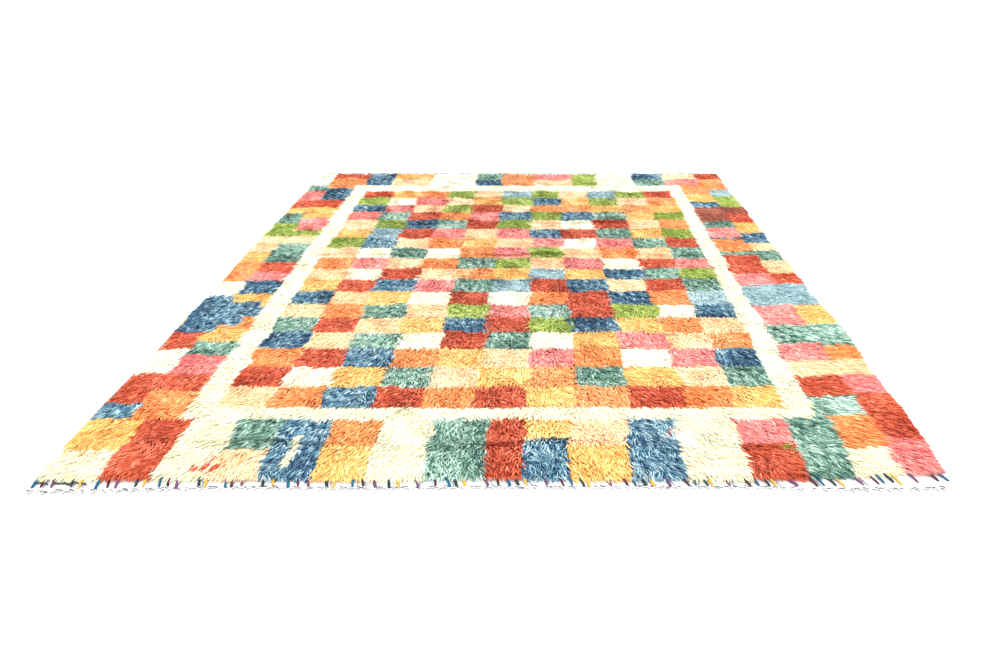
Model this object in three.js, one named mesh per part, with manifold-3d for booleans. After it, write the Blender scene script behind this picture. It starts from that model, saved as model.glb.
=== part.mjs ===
// Berber rug: a hand-knotted wool shag rug that lies flat, with flat-woven ends, knotted fringes and
// overcast selvedges. Millimetres, +Z up, origin at the bottom centre. +Y runs to the far end, and the
// pile lies over towards -Y.
import * as THREE from "three";
import { mergeVertices } from "three/addons/utils/BufferGeometryUtils.js";
import Module from "manifold-3d";

const wasm = await Module();
wasm.setup();

// Driving sizes
const groundWidth = 2464; // knotted ground, between the selvedge cords
const groundLength = 2896; // first knot row to last knot row
const pileHeight = 19.5; // the lying pile over the middle of the rug
const rimHeight = 12; // the pile's height at the edge of the ground
const rimRound = 90; // how far in from the edge the pile reaches its full height
const lumpHeight = 4.4; // how far one clump of pile stands above or below the rest
const swellHeight = 1.6; // the long, soft unevenness of the whole rug
const clumpJitter = 17; // how far a clump lies from its even place
const clumpLean = 14; // how far the highest clumps hang over towards the near end
const columns = 36; // clumps across the rug
const rows = 42; // clumps along the rug
const cordDiameter = 8; // overcast selvedge cord
const webDepth = 36; // flat-woven end, from the last knot row to the fringe's roots
const webThickness = 3;
const gap = 0.35; // between neighbouring pieces
const sideLocks = 45; // overhanging locks on each long side
const endLocks = 39; // overhanging locks on each end
const strandsPerEnd = 63; // knotted warp bundles on each end
const sideLockInset = 45; // the first side lock's middle, from the ground's near end
const endLockInset = 50; // the first end lock's middle, from the ground's side
const strandInset = 12; // the first fringe strand's middle, from the web's side
const farLockReach = 0.5; // the far end's locks reach this share of the near end's
const rimUnevenness = 0.25; // share of the lumps and swells that is left at the rim
const creaseWave = 190; // how far along a crease it takes to wander by a radian

// The long swells of the pile, each way: how far they take to turn by a radian, and where they start.
const swells = {
  across: { radian: 310, start: 1.3 },
  along: { radian: 420, start: -0.4 },
};

// The least and the most that one lock or strand is of its rings' size, and how far its tip leans.
// A side lock leans towards the near end, the others to either side.
const sideLockRange = { wide: [0.75, 1.25], long: [0.85, 1.15], lean: [16, 34] };
const endLockRange = { wide: [0.75, 1.25], long: [0.85, 1.15], lean: [-13, 13] };
const strandRange = { wide: [0.85, 1.15], long: [0.85, 1.15], lean: [-5, 5] };

// How far a lock or a strand strays from its even place, as a share of the pitch.
const lockStray = 0.5;
const strandStray = 0.3;

// The sides bow in and out: `at` along the rug, `out` beyond the straight edge, `reach` either way.
const sideBows = [
  { side: "left", at: 1330, out: 30, reach: 230 },
  { side: "left", at: 250, out: 5, reach: 260 },
  { side: "left", at: -760, out: -6, reach: 300 },
  { side: "right", at: 40, out: 9, reach: 190 },
  { side: "right", at: -600, out: 15, reach: 290 },
  { side: "right", at: -1400, out: -13, reach: 170 },
  { side: "right", at: 1150, out: -5, reach: 260 },
];

// The ends draw back or bulge: `at` across the rug, `out` beyond the straight edge, `reach` either way.
const endBows = [
  { end: "near", at: 1250, out: -26, reach: 420 },
  { end: "near", at: -350, out: 4, reach: 400 },
  { end: "far", at: -900, out: 6, reach: 420 },
  { end: "far", at: 500, out: -5, reach: 380 },
];

// The near web is deeper at its corners, where its edge runs on straight past the drawn-back pile: `at`
// across the rug, `out` beyond the even depth, `reach` either way.
const webBows = [
  { end: "near", at: -1240, out: 17, reach: 620 },
  { end: "near", at: 1240, out: 30, reach: 560 },
];

// Partings and creases across the pile: `at` along the rug, from `start` to `finish` across it.
const creases = [
  { at: -1307, start: -1010, finish: 820, depth: 6, wander: 14 },
  { at: -760, start: 180, finish: 1060, depth: 3.5, wander: 18 },
  { at: 116, start: -960, finish: 900, depth: 4.5, wander: 12 },
  { at: 538, start: -620, finish: 1120, depth: 4, wander: 15 },
  { at: 980, start: -1120, finish: 160, depth: 3.5, wander: 12 },
];

// Rings of one lock or strand, root first: `out` from the ground's edge, `base` under it, half its
// width, and its own height.
const sideLockRings = [
  { out: -24, base: 5, half: 26, high: 7 },
  { out: 10, base: 8.8, half: 24, high: 7.2 },
  { out: 26, base: 0, half: 5, high: 3.6 },
];
const endLockRings = [
  { out: -24, base: 4, half: 26, high: 8 },
  { out: 8, base: 5, half: 24, high: 8.6 },
  { out: 20, base: 3.5, half: 5, high: 2.8 },
];
const strandRings = [
  { out: -7, base: 0, half: 2.8, high: 2.4 },
  { out: 1.5, base: 0, half: 4.8, high: 5.6 },
  { out: 6.5, base: 0, half: 2.9, high: 3.6 },
  { out: 18.5, base: 0, half: 4.6, high: 3 },
];

const halfWidth = groundWidth / 2;
const halfLength = groundLength / 2;

const wool = new THREE.MeshStandardMaterial({ color: 0xe8b98a, roughness: 0.95, metalness: 0 });
const cotton = new THREE.MeshStandardMaterial({ color: 0xf4f1e8, roughness: 0.9, metalness: 0 });
const overcasting = new THREE.MeshStandardMaterial({ color: 0xd9c48f, roughness: 0.9, metalness: 0 });

// Even values from 0 to 1 that are the same on each run.
function seeded(seed) {
  let state = seed;
  return () => {
    state = (Math.imul(state, 1664525) + 1013904223) >>> 0;
    return state / 4294967296;
  };
}

// A value from -1 to 1 that belongs to one crossing of the clump grid.
function clumpValue(column, row, salt) {
  const wave = Math.sin(column * 127.1 + row * 311.7 + salt * 74.7) * 43758.5453;
  return 2 * (wave - Math.floor(wave)) - 1;
}

// A smooth hump, 1 in its middle and 0 from `reach` outwards.
function hump(distance, reach) {
  const near = Math.max(0, 1 - (distance / reach) ** 2);
  return near * near;
}

function bowOf(table, key, name, along) {
  return table
    .filter((bow) => bow[key] === name)
    .reduce((sum, bow) => sum + bow.out * hump(along - bow.at, bow.reach), 0);
}

const leftEdge = (y) => -halfWidth - bowOf(sideBows, "side", "left", y);
const rightEdge = (y) => halfWidth + bowOf(sideBows, "side", "right", y);
const nearEdge = (x) => -halfLength - bowOf(endBows, "end", "near", x);
const farEdge = (x) => halfLength + bowOf(endBows, "end", "far", x);

// How deep a web is at a place across the rug, `end` being -1 at the near end and 1 at the far one.
const webDepthAt = (end, x) => webDepth + bowOf(webBows, "end", end < 0 ? "near" : "far", x);

// Carries a point of the straight rug to its place on the bowed one.
function bowed(x, y) {
  const along = THREE.MathUtils.lerp(nearEdge(x), farEdge(x), y / groundLength + 0.5);
  const across = THREE.MathUtils.lerp(leftEdge(along), rightEdge(along), x / groundWidth + 0.5);
  return [across, along];
}

// Moves each vertex of a closed geometry, and leaves it with shared vertices and nothing but places.
function moved(geometry, move) {
  geometry.deleteAttribute("normal");
  geometry.deleteAttribute("uv");
  const merged = mergeVertices(geometry, 1e-4);
  const places = merged.getAttribute("position");
  const point = new THREE.Vector3();
  for (let i = 0; i < places.count; i++) {
    move(point.fromBufferAttribute(places, i));
    places.setXYZ(i, point.x, point.y, point.z);
  }
  return merged;
}

function solidOf(geometry) {
  return new wasm.Manifold(
    new wasm.Mesh({
      numProp: 3,
      vertProperties: geometry.getAttribute("position").array,
      triVerts: new Uint32Array(geometry.index.array),
    }),
  );
}

function meshOf(solid, name, material) {
  const { vertProperties, triVerts } = solid.getMesh();
  const geometry = new THREE.BufferGeometry();
  geometry.setAttribute("position", new THREE.BufferAttribute(vertProperties, 3));
  geometry.setIndex(new THREE.BufferAttribute(triVerts, 1));
  geometry.computeVertexNormals();
  const mesh = new THREE.Mesh(geometry, material);
  mesh.name = name;
  return mesh;
}

// The crease that runs along one row of clumps, where it does.
function creaseAt(x, row) {
  const rowPitch = groundLength / rows;
  return creases.find(
    (crease) =>
      Math.round((crease.at + halfLength) / rowPitch) === row && x > crease.start && x < crease.finish,
  );
}

// The pile's height at one clump: rounded to the rim, swelling softly, and lumpy.
function pileTop(x, y, lump) {
  const fromRim = Math.min(halfWidth - Math.abs(x), halfLength - Math.abs(y));
  const rise = Math.sin(Math.min(1, fromRim / rimRound) * (Math.PI / 2));
  const { across, along } = swells;
  const swell = Math.sin(x / across.radian + across.start) * Math.cos(y / along.radian + along.start);
  const uneven = (lump * lumpHeight + swell * swellHeight) * THREE.MathUtils.lerp(rimUnevenness, 1, rise);
  return THREE.MathUtils.lerp(rimHeight, pileHeight, rise) + uneven;
}

// The knotted ground with its lying pile: a block whose top is one point for each clump.
function pileGround() {
  const below = 5; // cut away again, which leaves the underside as one flat face
  const block = new THREE.BoxGeometry(groundWidth, groundLength, pileHeight, columns, rows, 1);
  const lumpy = moved(block, (point) => {
    const { x, y, z } = point;
    const column = Math.round((x / groundWidth + 0.5) * columns);
    const row = Math.round((y / groundLength + 0.5) * rows);
    const inside = column > 0 && column < columns && row > 0 && row < rows;
    const [px, py] = bowed(x, y);
    if (z < 0) {
      point.set(px, py, -below);
      return;
    }
    const lump = clumpValue(column, row, 1);
    const top = pileTop(x, y, lump);
    if (!inside) {
      point.set(px, py, top);
      return;
    }
    const strayX = clumpValue(column, row, 2) * clumpJitter;
    const crease = creaseAt(x, row);
    if (crease) {
      const wander = crease.wander * Math.sin(x / creaseWave);
      point.set(px + strayX, crease.at + wander, top - crease.depth);
      return;
    }
    const strayY = clumpValue(column, row, 3) * clumpJitter - Math.max(0, lump) * clumpLean;
    point.set(px + strayX, py + strayY, top);
  });
  const underCut = new THREE.BoxGeometry(groundWidth * 2, groundLength * 2, below * 2);
  const floor = moved(underCut, (point) => {
    point.z -= below;
  });
  return solidOf(lumpy).subtract(solidOf(floor));
}

// A tapering lock or strand with a flat underside. `spot` turns a distance out from the edge and one
// along it into a place on the floor; `lean` carries the tip along the edge. Three sides give a ridge,
// four a flat top.
function lock(sides, rings, spot, { lean, wide, long }) {
  const last = rings.length - 1;
  const turn = sides === 4 ? Math.PI / 4 : 0;
  const reachAcross = Math.sin(sides === 4 ? Math.PI / 4 : Math.PI / 3);
  const lowest = sides === 4 ? -reachAcross : -0.5;
  const highest = sides === 4 ? reachAcross : 1;
  const topShare = 0.62; // of the width, on the flat top of a four-sided strand
  const tube = new THREE.CylinderGeometry(1, 1, 1, sides, last, false, turn);
  return moved(tube, (point) => {
    const step = Math.round((0.5 - point.y) * last);
    const ring = rings[step];
    const high = (point.z - lowest) / (highest - lowest);
    const narrow = sides === 4 ? THREE.MathUtils.lerp(1, topShare, high) : 1;
    const across = (point.x / reachAcross) * ring.half * wide * narrow;
    const out = ring.out > 0 ? ring.out * long : ring.out;
    const [x, y] = spot(out, across + lean * (step / last) ** 2);
    point.set(x, y, ring.base + high * ring.high);
  });
}

// The floor places beside one station of a long side, `side` being -1 on the left and 1 on the right.
function besideSide(edge, side, station) {
  return (out, along) => {
    const y = station + side * along;
    return [edge(y) + side * out, y];
  };
}

// The same past one end: from the ground's edge for a lock, from the web's outer edge for a strand.
function pastEnd(edge, end, station, start = () => 0) {
  return (out, along) => {
    const x = station - end * along;
    return [x, edge(x) + end * (start(x) + out)];
  };
}

// Evenly spread stations between two ends, each strayed by up to `stray` of the pitch.
function stations(count, from, to, stray, random) {
  const pitch = (to - from) / count;
  return Array.from({ length: count }, (_, i) => from + pitch * (i + 0.5 + (random() - 0.5) * stray));
}

// One lock's or strand's own lean, width and length, from the range of its kind.
function varied(range, random) {
  const between = ([least, most]) => THREE.MathUtils.lerp(least, most, random());
  return { lean: between(range.lean), wide: between(range.wide), long: between(range.long) };
}

function sideLocksOn(edge, side, seed) {
  const random = seeded(seed);
  const first = -halfLength + sideLockInset;
  const last = halfLength - sideLockInset / 2;
  return stations(sideLocks, first, last, lockStray, random).map((y) => {
    const own = varied(sideLockRange, random);
    return solidOf(lock(3, sideLockRings, besideSide(edge, side, y), { ...own, lean: -side * own.lean }));
  });
}

// The pile lies towards the near end, so its locks reach well over the near web and little over the far.
function endLocksOn(edge, end, reach, seed) {
  const random = seeded(seed);
  const last = halfWidth - endLockInset;
  return stations(endLocks, -last, last, lockStray, random).map((x) => {
    const own = varied(endLockRange, random);
    return solidOf(lock(3, endLockRings, pastEnd(edge, end, x), { ...own, long: reach * own.long }));
  });
}

function pileSlab() {
  const locks = [
    ...sideLocksOn(leftEdge, -1, 11),
    ...sideLocksOn(rightEdge, 1, 23),
    ...endLocksOn(nearEdge, -1, 1, 37),
    ...endLocksOn(farEdge, 1, farLockReach, 41),
  ];
  return locks.reduce((slab, one) => slab.add(one), pileGround());
}

// The flat-woven strip follows the ground's end at a gap, with the warp bundles knotted along it.
function fringedWeb(edge, end, seed) {
  const random = seeded(seed);
  const strip = new THREE.BoxGeometry(groundWidth, webDepth, webThickness, columns, 1, 1);
  const web = moved(strip, (point) => {
    const [x, y] = bowed(point.x, end * halfLength);
    const share = 0.5 + (end * point.y) / webDepth; // 0 along the ground, 1 along the fringe
    point.set(x, y + end * (gap + share * webDepthAt(end, x)), point.z + webThickness / 2);
  });
  const last = halfWidth - strandInset;
  const start = (x) => gap + webDepthAt(end, x);
  const strands = stations(strandsPerEnd, -last, last, strandStray, random).map((x) =>
    solidOf(lock(4, strandRings, pastEnd(edge, end, x, start), varied(strandRange, random))),
  );
  return strands.reduce((whole, one) => whole.add(one), solidOf(web));
}

// A round cord that lies on the floor along the ground's side and runs on beside both webs.
function selvedge(side) {
  const radius = cordDiameter / 2;
  const facets = 8;
  const flat = radius * Math.cos(Math.PI / facets); // from the cord's middle to its flat underside
  const turn = Math.PI / facets;
  const cord = new THREE.CylinderGeometry(radius, radius, groundLength, facets, rows, false, turn);
  return moved(cord, (point) => {
    const [x, y] = bowed(side * halfWidth, point.y);
    const end = Math.sign(point.y);
    const atEnd = Math.abs(point.y) > halfLength - gap;
    const runOn = atEnd ? end * webDepthAt(end, x) : 0;
    point.set(x + side * (gap + radius) + point.x, y + runOn, point.z + flat);
  });
}

const rug = new THREE.Group();
rug.add(meshOf(pileSlab(), "pile_slab", wool));
rug.add(meshOf(fringedWeb(nearEdge, -1, 53), "fringe_near", cotton));
rug.add(meshOf(fringedWeb(farEdge, 1, 67), "fringe_far", cotton));
rug.add(meshOf(solidOf(selvedge(-1)), "selvedge_left", overcasting));
rug.add(meshOf(solidOf(selvedge(1)), "selvedge_right", overcasting));

// The bowed sides aren't alike, so the rug is brought back to the middle of its own box.
const middle = new THREE.Box3().setFromObject(rug).getCenter(new THREE.Vector3());
rug.position.set(-middle.x, -middle.y, 0);

export default rug;
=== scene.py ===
# Berber rug, lying flat: hand-knotted wool shag in a patchwork of plain dyes, flat-woven cotton ends
# with knotted fringes, coloured overcast stitches and wound selvedges.
import math
import bpy
import numpy as np
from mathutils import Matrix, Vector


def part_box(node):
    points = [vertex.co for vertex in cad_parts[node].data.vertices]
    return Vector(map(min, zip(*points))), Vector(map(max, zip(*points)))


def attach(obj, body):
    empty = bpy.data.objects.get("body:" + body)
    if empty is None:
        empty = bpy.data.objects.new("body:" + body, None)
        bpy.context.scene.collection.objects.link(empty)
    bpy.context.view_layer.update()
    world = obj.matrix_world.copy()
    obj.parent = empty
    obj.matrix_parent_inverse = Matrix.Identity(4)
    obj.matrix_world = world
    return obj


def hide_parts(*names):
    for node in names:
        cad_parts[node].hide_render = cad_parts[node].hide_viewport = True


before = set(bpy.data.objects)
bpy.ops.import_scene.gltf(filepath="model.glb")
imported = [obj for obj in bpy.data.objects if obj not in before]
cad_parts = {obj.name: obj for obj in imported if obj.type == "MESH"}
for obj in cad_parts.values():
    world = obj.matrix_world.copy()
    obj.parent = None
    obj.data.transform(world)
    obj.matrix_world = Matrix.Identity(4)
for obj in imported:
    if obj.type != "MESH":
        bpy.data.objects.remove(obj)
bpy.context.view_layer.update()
bpy.ops.object.select_all(action="DESELECT")
print("frame loaded")

# Sizes of the ground in metres, as the solids have them
rug = {
    "width": 2.464,  # knotted ground between the selvedges
    "length": 2.896,  # first knot row to last
    "webDepth": 0.036,
    "webThick": 0.003,
    "gap": 0.00035,
    "cord": 0.008,  # selvedge
    "cordSides": 8,  # of the solid's cord
    "columns": 36,  # clumps of pile across and along, where the solid has its lumps
    "rows": 42,
}

# Bows of the edges: middle, how far out, reach either way
bows = {
    "left": [(1.330, 0.030, 0.230), (0.250, 0.005, 0.260), (-0.760, -0.006, 0.300)],
    "right": [
        (0.040, 0.009, 0.190), (-0.600, 0.015, 0.290), (-1.400, -0.013, 0.170), (1.150, -0.005, 0.260),
    ],
    "near": [(1.250, -0.026, 0.420), (-0.350, 0.004, 0.400)],
    "far": [(-0.900, 0.006, 0.420), (0.500, -0.005, 0.380)],
}

# The near web is deeper at its corners: middle, how much deeper, reach either way
webBows = {"near": [(-1.240, 0.017, 0.620), (1.240, 0.030, 0.560)], "far": []}

# Partings across the pile: where along the rug, from and to across it, how deep, how far it wanders
partings = [
    (-1.307, -1.010, 0.820, 1.00, 0.014),
    (-0.760, 0.180, 1.060, 0.55, 0.018),
    (0.116, -0.960, 0.900, 0.75, 0.012),
    (0.538, -0.620, 1.120, 0.65, 0.015),
    (0.980, -1.120, 0.160, 0.55, 0.012),
]
# Over what lengths a parting bends, ripples, starts or ends, and breaks off
partingLengths = (0.19, 0.061, 0.05, 0.13)

halfWidth = rug["width"] / 2
halfLength = rug["length"] / 2
outward = {"near": -1, "far": 1, "left": -1, "right": 1}  # which way leads out of the rug


def hump(distance, reach):  # 1 in its middle, 0 from its reach outwards
    near = np.maximum(0.0, 1 - (distance / reach) ** 2)
    return near * near


def bow(edge, along):
    return sum(out * hump(along - at, reach) for at, out, reach in bows[edge])


def webDepthAt(end, x):  # at a place across the rug as it lies
    return rug["webDepth"] + sum(out * hump(x - datum[0] - at, reach) for at, out, reach in webBows[end])


def bowed(x, y):  # from the straight rug to the rug as it lies
    nearY = -halfLength - bow("near", x)
    farY = halfLength + bow("far", x)
    placeY = nearY + (farY - nearY) * (y / rug["length"] + 0.5)
    leftX = -halfWidth - bow("left", placeY)
    rightX = halfWidth + bow("right", placeY)
    placeX = leftX + (rightX - leftX) * (x / rug["width"] + 0.5)
    return placeX + datum[0], placeY + datum[1]


# The solids were centred in their own box, so the rug's middle is found again from the left selvedge
datum = (0.0, 0.0)
stations = np.linspace(-halfLength, halfLength, rug["rows"] + 1)
sideX, sideY = bowed(np.full_like(stations, -halfWidth), stations)
cordRadius = rug["cord"] / 2
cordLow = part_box("selvedge_left")[0]
datum = (
    cordLow[0] - (sideX.min() - rug["gap"] - cordRadius * (1 + math.cos(math.pi / rug["cordSides"]))),
    cordLow[1] - (sideY.min() - webDepthAt("near", sideX[0])),
)
print("rug's middle lies at", [round(1000 * d, 1) for d in datum], "mm")


def linear(hexColour):  # sRGB hex to the linear colour that shaders take
    parts = [int(hexColour[i:i + 2], 16) / 255 for i in (0, 2, 4)]
    return tuple(p / 12.92 if p <= 0.04045 else ((p + 0.055) / 1.055) ** 2.4 for p in parts) + (1.0,)


def node(tree, kind, settings=None, links=None):
    made = tree.nodes.new(kind)
    for key, value in (settings or {}).items():
        if key == "stops":  # of a colour ramp
            ramp = made.color_ramp
            while len(ramp.elements) < len(value):
                ramp.elements.new(0.5)
            for element, (position, colour) in zip(ramp.elements, value):
                element.position = position
                element.color = colour
        elif isinstance(key, int) or key in made.inputs:
            made.inputs[key].default_value = value
        else:
            setattr(made, key, value)
    for key, source in (links or {}).items():
        tree.links.new(source, made.inputs[key])
    return made


def newMaterial(name):
    material = bpy.data.materials.new(name)
    material.use_nodes = True
    material.node_tree.nodes.clear()
    return material, material.node_tree


def drift(x, y, length, seed):  # smooth, about -1 to 1, with hills of that length in metres
    random = np.random.default_rng(seed)
    total = 0.0
    for _ in range(7):
        angle, phase = random.uniform(0, 2 * math.pi, 2)
        wave = math.pi / (length * random.uniform(0.75, 1.35))
        total = total + np.sin((x * math.cos(angle) + y * math.sin(angle)) * wave + phase)
    return total / 2.6


def clumpValue(column, row, salt):  # the same value that the solid has at one crossing of its lumps
    wave = np.sin(column * 127.1 + row * 311.7 + salt * 74.7) * 43758.5453
    return 2 * (wave - np.floor(wave)) - 1


def lumpAt(x, y):  # the solid's lumps, rounded off between their crossings
    column = (x / rug["width"] + 0.5) * rug["columns"]
    row = (y / rug["length"] + 0.5) * rug["rows"]
    c0, r0 = np.floor(column), np.floor(row)
    fc, fr = column - c0, row - r0
    fc, fr = fc * fc * (3 - 2 * fc), fr * fr * (3 - 2 * fr)
    near = clumpValue(c0, r0, 1) * (1 - fc) + clumpValue(c0 + 1, r0, 1) * fc
    far = clumpValue(c0, r0 + 1, 1) * (1 - fc) + clumpValue(c0 + 1, r0 + 1, 1) * fc
    return near * (1 - fr) + far * fr


def partingAt(x, y, width, ahead=0.0):  # 1 on a parting's line, moved ahead towards the far end
    bend, ripple, fade, breaks = partingLengths
    total = 0.0
    for at, start, finish, depth, wander in partings:
        line = at + ahead + wander * np.sin(x / bend) + 0.4 * wander * np.sin(x / ripple + at)
        inside = 1 / (1 + np.exp(-(x - start) / fade)) / (1 + np.exp((x - finish) / fade))
        inside = inside * (0.55 + 0.45 * np.sin(x / breaks + 9 * at))  # it comes and goes
        total = total + depth * inside * np.exp(-((y - line) / width) ** 2)
    return np.minimum(total, 1.0)


# The dyes of the pile, each as its strands run from the darkest to the palest, in sRGB
dyes = {
    "cream": ("e6e1c0", "f4f1db", "fbf9ee"),
    "beige": ("fcc08c", "fcd6ab", "fce8cb"),
    "yellow": ("eea54d", "f3c676", "f8e2aa"),
    "orange": ("de7234", "f1a361", "f6cb96"),
    "red": ("9c3120", "d4603f", "f09775"),
    "pink": ("d0635f", "f29a94", "f8d1c7"),
    "teal": ("305450", "60887b", "8ab3a0", "afcebd", "e2f2e8"),
    "denim": ("1e2f4c", "33597c", "53849f", "8ab0bd", "cee8ec"),
    "lime": ("68832c", "a9bb57", "deea98"),
    "sky": ("7a9ea6", "a8c5ca", "dceaeb"),
    "madder": ("83392e", "b26751", "db947c"),
}
dyeNames = list(dyes)

# The weaver's chart. The blocks follow a rule of their own: hardly two neighbours alike, lime and sky
# kept off the near end, and each dye as often as its weight says, at the near and the far end
chart = {
    "seed": 29,
    "cell": 0.025,
    "fieldX": (-0.868, 0.872),
    "fieldY": (-1.111, 1.092),
    "frameX": (-0.957, 0.951),
    "frameY": (-1.175, 1.210),
    "laneX": (-1.104, 1.102),
    "columnShares": (1.0, 0.97, 1.03, 0.98, 1.0, 1.02, 0.96, 1.05, 1.06, 0.97, 0.96),
    "rows": 18,
    "rowShares": (0.93, 1.07),
    "missReach": (0.82, 1.06),  # how far out from the rug's middle blocks may miss each other
    "alike": 0.05,  # how often a block of the field may be like its neighbours
    "block": (0.158, 0.122),  # its usual size
    "laneBlock": (0.085, 0.215),  # shortest and longest block of the side borders
    "laneRest": 0.06,  # a rest shorter than this joins the last block
    "laneGap": 0.02,  # and a gap shorter than this is left undyed
    "runsOver": 0.3,  # how often a block runs on over the other lane
    "split": (0.4, 0.62),  # where a block of the end borders changes its dye
    "fieldWeights": {
        "cream": (0.14, 0.10), "beige": (0.15, 0.15), "yellow": (0.12, 0.10), "orange": (0.16, 0.15),
        "red": (0.14, 0.10), "pink": (0.09, 0.11), "teal": (0.12, 0.09), "denim": (0.11, 0.09),
        "lime": (-0.05, 0.25), "sky": (-0.03, 0.09), "madder": (0.0, 0.0),
    },
    "laneWeights": {
        "cream": (0.17, 0.10), "beige": (0.10, 0.14), "yellow": (0.14, 0.10), "orange": (0.12, 0.14),
        "red": (0.14, 0.10), "pink": (0.13, 0.11), "teal": (0.12, 0.09), "denim": (0.14, 0.10),
        "lime": (-0.06, 0.18), "sky": (-0.02, 0.05), "madder": (0.02, 0.03),
    },
    # Tall blocks of the near border, left to right: width share, dye of the far half and the near half
    "nearBlocks": [
        (1.30, "yellow", "cream"), (0.95, "red", "red"), (1.05, "cream", "cream"),
        (0.85, "teal", "beige"), (1.10, "denim", "denim"), (0.90, "orange", "yellow"),
        (1.25, "cream", "cream"), (0.95, "teal", "teal"), (0.90, "red", "red"), (0.85, "yellow", "denim"),
        (1.10, "beige", "yellow"), (1.05, "denim", "denim"), (1.30, "cream", "cream"),
        (0.95, "pink", "red"), (1.00, "teal", "teal"), (0.85, "orange", "cream"), (0.90, "red", "pink"),
    ],
    # Wide blocks of the far border
    "farBlocks": [
        (0.70, "cream", "cream"), (1.00, "red", "orange"), (0.80, "denim", "denim"),
        (1.20, "yellow", "beige"), (1.30, "cream", "cream"), (0.80, "teal", "denim"),
        (1.00, "orange", "orange"), (1.10, "pink", "beige"), (0.70, "lime", "lime"),
        (1.20, "cream", "cream"), (0.90, "denim", "teal"), (1.00, "beige", "pink"), (0.80, "red", "orange"),
    ],
    # A stepped patch over both lanes on the left: its near end, a step's length, each step's reach across
    "patch": (-0.62, 0.05, [(0.00, 0.15), (0.00, 0.22), (0.05, 0.27), (0.00, 0.27), (0.10, 0.24)]),
    "slot": (-0.575, -0.545, -1.40, -1.25),  # a pale slot in one tall block
}


def chartLines(keys):
    parts = []
    for low, high in zip(keys, keys[1:]):
        parts.append(np.linspace(low, high, max(1, round((high - low) / chart["cell"])) + 1)[:-1])
    return np.append(np.concatenate(parts), keys[-1])


def pickDye(random, weights, far, barred):
    names = list(weights)
    share = np.array([max(0.0, near + (distant - near) * far) for near, distant in weights.values()])
    for name in barred:
        share[names.index(name)] = 0
    return names[random.choice(len(names), p=share / share.sum())]


def drawChart():
    random = np.random.default_rng(chart["seed"])
    shares = np.array(chart["columnShares"])
    left, right = chart["fieldX"]
    near, far = chart["fieldY"]
    columnEdges = left + (right - left) * np.append(0, np.cumsum(shares) / shares.sum())
    rowShares = random.uniform(*chart["rowShares"], chart["rows"])
    rowEdges = near + (far - near) * np.append(0, np.cumsum(rowShares) / rowShares.sum())
    laneLeft, laneRight = chart["laneX"]
    frameLeft, frameRight = chart["frameX"]
    frameNear, frameFar = chart["frameY"]
    xLines = chartLines([-halfWidth, laneLeft, frameLeft, *columnEdges, frameRight, laneRight, halfWidth])
    yLines = chartLines([-halfLength, frameNear, *rowEdges, frameFar, halfLength])
    xMid, yMid = (xLines[1:] + xLines[:-1]) / 2, (yLines[1:] + yLines[:-1]) / 2
    plan = np.zeros((len(yMid), len(xMid)), int)
    tone = np.zeros(plan.shape)

    def paint(x0, x1, y0, y1, dye):
        inside = np.outer((yMid > y0) & (yMid < y1), (xMid > x0) & (xMid < x1))
        plan[inside] = dyeNames.index(dye)
        tone[inside] = random.uniform(-1, 1)

    def borderRow(blocks, y0, y1):
        widths = np.array([share for share, _, _ in blocks])
        edges = -halfWidth + rug["width"] * np.append(0, np.cumsum(widths) / widths.sum())
        for i, (_, farDye, nearDye) in enumerate(blocks):
            split = y0 + (y1 - y0) * random.uniform(*chart["split"])
            if farDye == nearDye:
                paint(edges[i], edges[i + 1], y0, y1, nearDye)
            else:
                paint(edges[i], edges[i + 1], y0, split, nearDye)
                paint(edges[i], edges[i + 1], split, y1, farDye)

    for outer, middle, inner in ((-halfWidth, laneLeft, frameLeft), (halfWidth, laneRight, frameRight)):
        last = ["", ""]
        reached = [frameNear, frameNear]
        while min(reached) < frameFar - chart["laneGap"]:
            lane = int(reached[1] < reached[0])  # 0 outside, 1 beside the frame
            y0 = reached[lane]
            y1 = min(frameFar, y0 + random.uniform(*chart["laneBlock"]))
            if frameFar - y1 < chart["laneRest"]:
                y1 = frameFar
            spread = (y0 - frameNear) / (frameFar - frameNear)
            barred = [d for d in last if d] + (["cream", "beige"] if lane else [])  # the frame stays clear
            dye = pickDye(random, chart["laneWeights"], spread, barred)
            low, high = sorted((outer, middle) if lane == 0 else (middle, inner))
            paint(low, high, y0, y1, dye)
            reached[lane] = y1
            last[lane] = dye
            if random.random() < chart["runsOver"] and dye != "cream":
                # It runs on over the other lane, all or part of its length
                share = random.choice([0.45, 1.0])
                low, high = sorted((outer, inner))
                paint(low, high, max(y0, reached[1 - lane]), y0 + (y1 - y0) * share, dye)
                reached[1 - lane] = max(reached[1 - lane], y0 + (y1 - y0) * share)
                last[1 - lane] = dye

    paint(frameLeft, frameRight, frameNear, frameFar, "cream")
    names = [[""] * len(shares) for _ in range(chart["rows"])]
    for r in range(chart["rows"]):
        for c in range(len(shares)):
            barred = {names[r][c - 1] if c else "", names[r - 1][c] if r else ""} - {""}
            if random.random() < chart["alike"]:
                barred = set()
            if c in (0, len(shares) - 1) or r in (0, chart["rows"] - 1):
                barred.add("cream")
            names[r][c] = pickDye(random, chart["fieldWeights"], r / (chart["rows"] - 1), barred)
            paint(columnEdges[c], columnEdges[c + 1], rowEdges[r], rowEdges[r + 1], names[r][c])
    borderRow(chart["nearBlocks"], -halfLength, frameNear)
    borderRow(chart["farBlocks"], frameFar, halfLength)

    start, long, steps = chart["patch"]
    for step, (x0, x1) in enumerate(steps):
        y0 = start + long * step
        paint(-halfWidth + x0, -halfWidth + x1, y0, y0 + long, "denim")
    paint(*chart["slot"], "cream")
    return xLines, yLines, plan, tone


xLines, yLines, plan, tonePlan = drawChart()
print("chart drawn,", plan.shape[1], "by", plan.shape[0], "cells")


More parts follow.
